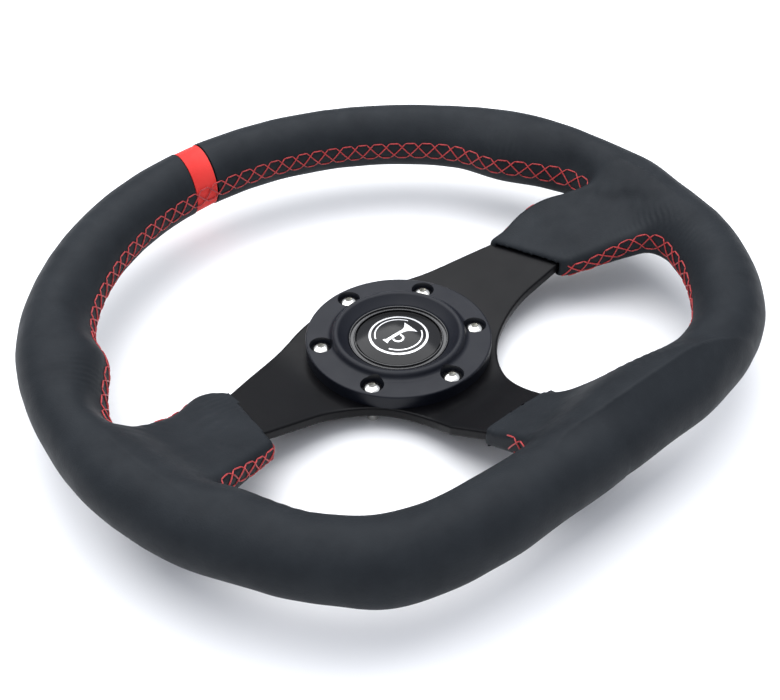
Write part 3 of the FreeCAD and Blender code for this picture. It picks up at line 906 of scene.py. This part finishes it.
def inlay(across, along, place):
    """Points and faces of a thin closed slab on the cap's dome; place maps two 0..1 grids to x and y."""
    u, v = np.meshgrid(np.linspace(0, 1, across + 1), np.linspace(0, 1, along + 1), indexing="ij")
    x, y = place(u, v)
    z = dome_height(x, y)
    top = np.stack([x, y, z + INLAY_PROUD], -1).reshape(-1, 3)
    under = np.stack([x, y, z - INLAY_DEEP], -1).reshape(-1, 3)
    row = along + 1
    quads = []
    for i in range(across):
        for j in range(along):
            k = i * row + j
            quads.append((k, k + row, k + row + 1, k + 1))
    below = shifted([q[::-1] for q in quads], len(top))
    return np.concatenate([top, under]), quads + below + walls_between(quads, len(top))


def tapered(x0, x1, half0, half1, power=1.0):
    """A bar along x whose half height runs from half0 to half1."""
    def place(u, v):
        half = half0 + (half1 - half0) * u ** power
        return x0 + (x1 - x0) * u, (2 * v - 1) * half
    return place


def arc_band(centre, inner, outer, start, end):
    """Part of a ring, from the start angle to the end angle in degrees."""
    def place(u, v):
        a = np.radians(start + (end - start) * u)
        r = inner + (outer - inner) * v
        return centre[0] + r * np.cos(a), centre[1] + r * np.sin(a)
    return place


def make_spring(source, material):
    """The return spring as a piece of its own, a copy of the CAD node that rides on the wheel."""
    spring = bpy.data.objects.new("shortening_spring", source.data.copy())
    spring.matrix_world = source.matrix_world
    bpy.context.scene.collection.objects.link(spring)
    spring.data.materials.clear()
    spring.data.materials.append(material)
    ride_on(spring, "wheel", "spring_steel", "return_spring")
    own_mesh(spring)


def make_emblem(material):
    """A plain pictogram of a horn inside a broken ring, let into the cap."""
    bell = tapered(x0=1.6, x1=7.4, half0=0.8, half1=4.4, power=2.2)
    tube = tapered(x0=-6.4, x1=1.6, half0=0.8, half1=0.8)
    mouthpiece = tapered(x0=-7.9, x1=-6.4, half0=1.7, half1=0.8)
    loop = arc_band(centre=(-2.2, -2.3), inner=1.8, outer=2.7, start=25.0, end=-205.0)
    parts = [
        inlay(across=12, along=8, place=bell),
        inlay(across=10, along=3, place=tube),
        inlay(across=4, along=4, place=mouthpiece),
        inlay(across=28, along=2, place=loop),
    ]
    for start, end in ((25.0, 155.0), (205.0, 335.0)):
        arc = arc_band((0.0, 0.0), RING_IN, RING_OUT, start, end)
        parts.append(inlay(across=40, along=2, place=arc))
    points, faces = joined(parts)
    sign = mesh_object("horn_sign_inlay", points, faces, material)
    sign.data.polygons.foreach_set("use_smooth", [False] * len(sign.data.polygons))
    ride_on(sign, "horn_button", "emblem_silver")


# ==== lacing ======================================================================================

def parting_height(x, y):
    """Height of the sheet that the inner seam lies in: near the rim's middle, down along the boots."""
    s = np.abs(x)
    t = ramp_up(-off_centreline(x, y) - TUBE_R, PARTING_RUN)
    share = t * t * (3.0 - 2.0 * t)
    foot = foot_middle(y) - by_side(x, (0.0, PARTING_FOOT))
    by_foot = (y < FOOT_AREA[1]) & (s < FOOT_AREA[0])
    middle = np.where(by_foot, foot, side_middle(s)) - PARTING_BOOT
    deep, start, length = PARTING_LOW
    rim = RIM_Z - PARTING_RIM - deep * ramp_up(-y - start, length)
    return rim * (1.0 - share) + middle * share


def lace_half(x, y):
    """Half the width of the lacing: full on the rim, less on the thin boots."""
    t = ramp_up(-off_centreline(x, y) - TUBE_R, LACE_RUN)
    return LACE_HALF * (1.0 - t) + LACE_HALF_BOOT * t


def seam_curve(origin, start, end):
    """Points where rays from origin first meet the grip, on the parting sheet."""
    angles = np.radians(np.linspace(start, end, SEAM_RAYS))[:, None]
    reach = np.arange(*SEAM_REACH, SEAM_STEP)[None, :]
    x = origin[0] + np.cos(angles) * reach
    y = origin[1] + np.sin(angles) * reach
    z = parting_height(x, y)
    inside = grip_field(x, y, z) < 0.0
    hit = inside.argmax(1)
    rows = np.arange(SEAM_RAYS)
    return np.stack([x[rows, hit], y[rows, hit], z[rows, hit]], 1)[inside.any(1)]


def resample(p, step):
    """Points at even spacing along a polyline."""
    gaps = np.linalg.norm(np.diff(p, axis=0), axis=1)
    along = np.concatenate([[0.0], np.cumsum(gaps)])
    spots = np.arange(0.0, along[-1], step)
    return np.stack([np.interp(spots, along, p[:, i]) for i in range(3)], 1)


def smooth_line(p, rounds):
    for _ in range(rounds):
        p[1:-1] = 0.25 * p[:-2] + 0.5 * p[1:-1] + 0.25 * p[2:]
    return p


def thread_tube(path, normal):
    """Vertices and faces of one strand along a path, ends closed."""
    n = len(path)
    sides = THREAD_SIDES
    tangent = unit(np.gradient(path, axis=0))
    across = unit(np.cross(normal, tangent))
    lift = np.cross(tangent, across)
    taper = np.ones(n)
    taper[0] = taper[-1] = THREAD_TIP
    turns = (np.arange(sides) * 2 * math.pi / sides)[None, :, None]
    ring = np.cos(turns) * across[:, None, :] + np.sin(turns) * lift[:, None, :]
    points = path[:, None, :] + ring * (THREAD_R * taper)[:, None, None]
    faces = []
    for i in range(n - 1):
        for j in range(sides):
            k = (j + 1) % sides
            faces.append((i * sides + j, i * sides + k, (i + 1) * sides + k, (i + 1) * sides + j))
    faces.append(tuple(reversed(range(sides))))
    faces.append(tuple((n - 1) * sides + j for j in range(sides)))
    return points.reshape(-1, 3), faces


def rows_between(table, at):
    """The table's rows, read between its indices."""
    index = np.arange(len(table))
    return np.stack([np.interp(at, index, table[:, i]) for i in range(3)], 1)


def strands_of(s0):
    """Ends of the four strands of one stitch, as distance along the seam and share of its half width."""
    run = SLANT * PITCH
    half = PITCH / 2
    rising = ((s0, -1.0), (s0 + run, 1.0))
    falling = ((s0 + half, 1.0), (s0 + half + run, -1.0))
    lower = ((s0 - half + run, -1.0), (s0 + PITCH, -1.0))
    upper = ((s0 + run, 1.0), (s0 + half + PITCH, 1.0))
    return rising, falling, lower, upper


def lace(name, curve, material):
    """Red lacing along one seam: slanting strands that cross, joined by flat ones above and below."""
    curve = smooth_line(resample(curve, SEAM_STEP), SEAM_ROUNDS)
    curve = settle(grip_field, curve)
    normal = unit(slope_of(grip_field, curve, NORMAL_STEP))
    upward = np.cross(normal, unit(np.gradient(curve, axis=0)))
    upward *= np.where(upward[:, 2] < 0, -1.0, 1.0)[:, None]
    last = len(curve) - 1
    t = np.linspace(0.0, 1.0, THREAD_POINTS)
    ends, middle, over = THREAD_LIFT
    arch = np.sin(math.pi * t) ** 0.5
    parts = []
    for k in range(int(last * SEAM_STEP / PITCH) - 1):
        for order, ((sa, ha), (sb, hb)) in enumerate(strands_of(k * PITCH)):
            at = np.clip((sa + (sb - sa) * t) / SEAM_STEP, 0, last)
            base = rows_between(curve, at)
            reach = (ha + (hb - ha) * t) * lace_half(base[:, 0], base[:, 1])
            path = settle(grip_field, base + rows_between(upward, at) * reach[:, None])
            n = unit(slope_of(grip_field, path, NORMAL_STEP))
            rise = THREAD_R * (ends + (middle + over * (order == 1)) * arch)
            parts.append(thread_tube(path + n * rise[:, None], n))
    points, faces = joined(parts)
    ride_on(mesh_object(name, points, faces, material), "wheel", "red_leather")


def make_lacing(material):
    for name, origin, start, end in SEAMS:
        lace(name, seam_curve(origin, start, end), material)


# ==== scene =======================================================================================

def paint(nodes, names, material):
    for name in names:
        slots = nodes[name].data.materials
        slots.clear()
        slots.append(material)


def make_materials():
    charcoal = ((0.0122, 0.0143, 0.0170), (0.0172, 0.0200, 0.0232))
    red = ((0.56, 0.030, 0.026), (0.66, 0.046, 0.040))
    plate = ((0.0014, 0.0014, 0.0019), (0.0022, 0.0022, 0.0028))
    ring = ((0.0038, 0.0047, 0.0082), (0.0056, 0.0068, 0.0110))
    steel = ((0.50, 0.49, 0.46), (0.66, 0.65, 0.61))
    spring = ((0.42, 0.42, 0.43), (0.56, 0.56, 0.57))
    brass = ((0.62, 0.44, 0.18), (0.74, 0.56, 0.28))
    plastic = ((0.012, 0.012, 0.013), (0.02, 0.02, 0.021))
    rubber = ((0.010, 0.010, 0.010), (0.016, 0.016, 0.016))
    foam = ((0.02, 0.02, 0.02), (0.035, 0.035, 0.035))
    trim = ((0.003, 0.003, 0.0035), (0.005, 0.005, 0.0055))
    cap = ((0.0022, 0.0022, 0.0026), (0.0034, 0.0034, 0.0038))
    silver = ((0.74, 0.74, 0.74), (0.88, 0.88, 0.88))
    return {
        "black_leather": leather("charcoal_leather", *charcoal, rough=0.52),
        "red_leather": leather("red_band_leather", *red, rough=0.50),
        "plate": satin_metal("black_anodised", *plate, rough=0.34, shine=0.11),
        "ring": satin_metal("blue_black_anodised", *ring, rough=0.42, shine=0.20),
        "steel": satin_metal("plated_steel", *steel, rough=0.13, metallic=1.0, bump=0.04),
        "spring": satin_metal("spring_wire", *spring, rough=0.30, metallic=1.0, bump=0.05),
        "brass": satin_metal("contact_brass", *brass, rough=0.30, metallic=1.0, bump=0.05),
        "plastic": moulded("black_moulding", *plastic, rough=0.5),
        "rubber": moulded("seal_rubber", *rubber, rough=0.7),
        "foam": moulded("dark_foam", *foam, rough=0.9),
        "trim": moulded("gloss_trim", *trim, rough=0.24, coat=0.2),
        "cap": moulded("gloss_cap", *cap, rough=0.14, coat=0.05, shine=0.22),
        "thread": thread_material(),
        "silver": satin_metal("silver_inlay", *silver, rough=0.30, metallic=0.4, bump=0.02),
    }


def turned(right, up, back, position):
    """Matrix of an object at the position that looks along minus back."""
    return Matrix.Translation(position) @ Matrix((right, up, back)).transposed().to_4x4()


def make_camera():
    """The view from the left of six o'clock, from its angles and the hub's place beside its axis."""
    level = math.cos(ELEVATION)
    back = Vector((math.sin(AZIMUTH) * level, -math.cos(AZIMUTH) * level, math.sin(ELEVATION)))
    flat_right = (-back).cross(Vector((0, 0, 1))).normalized()
    flat_up = flat_right.cross(-back)
    right = math.cos(ROLL) * flat_right + math.sin(ROLL) * flat_up
    up = -math.sin(ROLL) * flat_right + math.cos(ROLL) * flat_up
    position = DISTANCE * back - HUB_ASIDE * right - HUB_ABOVE * up + Vector((0, 0, HUB_TOP_Z))
    data = bpy.data.cameras.new("camera")
    data.sensor_fit = "HORIZONTAL"
    data.sensor_width = SENSOR
    data.lens = LENS
    data.clip_start, data.clip_end = CLIP
    camera = bpy.data.objects.new("camera", data)
    bpy.context.scene.collection.objects.link(camera)
    camera.matrix_world = turned(right, up, back, position * MM)
    bpy.context.scene.camera = camera


def make_softbox():
    """One large soft light overhead, a little towards twelve o'clock."""
    data = bpy.data.lights.new("top_softbox", "AREA")
    data.shape = "RECTANGLE"
    data.size = SOFTBOX_SIZE
    data.size_y = SOFTBOX_SIZE
    data.energy = SOFTBOX_POWER
    light = bpy.data.objects.new("top_softbox", data)
    bpy.context.scene.collection.objects.link(light)
    back = Vector(SOFTBOX_AT).normalized()
    right = Vector(SOFTBOX_UP).cross(back).normalized()
    light.matrix_world = turned(right, back.cross(right), back, SOFTBOX_AT)


def make_world():
    """Sky that is dim at the horizon and bright overhead."""
    world = bpy.data.worlds.new("studio")
    world.use_nodes = True
    tree = world.node_tree
    background = tree.nodes["Background"]
    place = tree.nodes.new("ShaderNodeTexCoord")
    split = tree.nodes.new("ShaderNodeSeparateXYZ")
    sky = tree.nodes.new("ShaderNodeValToRGB")
    tree.links.new(place.outputs["Generated"], split.inputs["Vector"])
    tree.links.new(split.outputs["Z"], sky.inputs["Fac"])
    tree.links.new(sky.outputs["Color"], background.inputs["Color"])
    for element, (at, colour) in zip(sky.color_ramp.elements, (HORIZON, ZENITH)):
        element.position = at
        element.color = (*colour, 1.0)
    background.inputs["Strength"].default_value = 1.0
    bpy.context.scene.world = world


def make_floor():
    bpy.ops.mesh.primitive_plane_add(size=FLOOR_SIZE, location=(0, 0, FLOOR_Z))
    floor = bpy.context.object
    floor.name = "studio_floor"
    m = Nodes("pale_paper")
    m.colour(m.noise(scale=3.0, detail=2.0), (0.3, (0.88, 0.88, 0.88)), (0.7, (0.90, 0.90, 0.90)))
    m.set(Roughness=0.9)
    floor.data.materials.append(m.material)
    floor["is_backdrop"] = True


def paint_nodes(nodes, materials):
    """Gives each CAD node that stays its material."""
    for key, names in NODE_FINISH.items():
        paint(nodes, names, materials[key])


def main():
    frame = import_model()
    cad_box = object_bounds()
    bpy.context.scene.view_settings.view_transform = "Standard"
    materials = make_materials()
    make_camera()
    make_world()
    make_softbox()
    make_floor()
    paint_nodes(frame["nodes"], materials)
    make_grip(materials["black_leather"], materials["red_leather"])
    make_foam(materials["foam"])
    make_plate(materials["plate"])
    make_lacing(materials["thread"])
    make_emblem(materials["silver"])
    make_spring(frame["nodes"]["return_spring"], materials["spring"])
    return cad_box


cad_box = main()
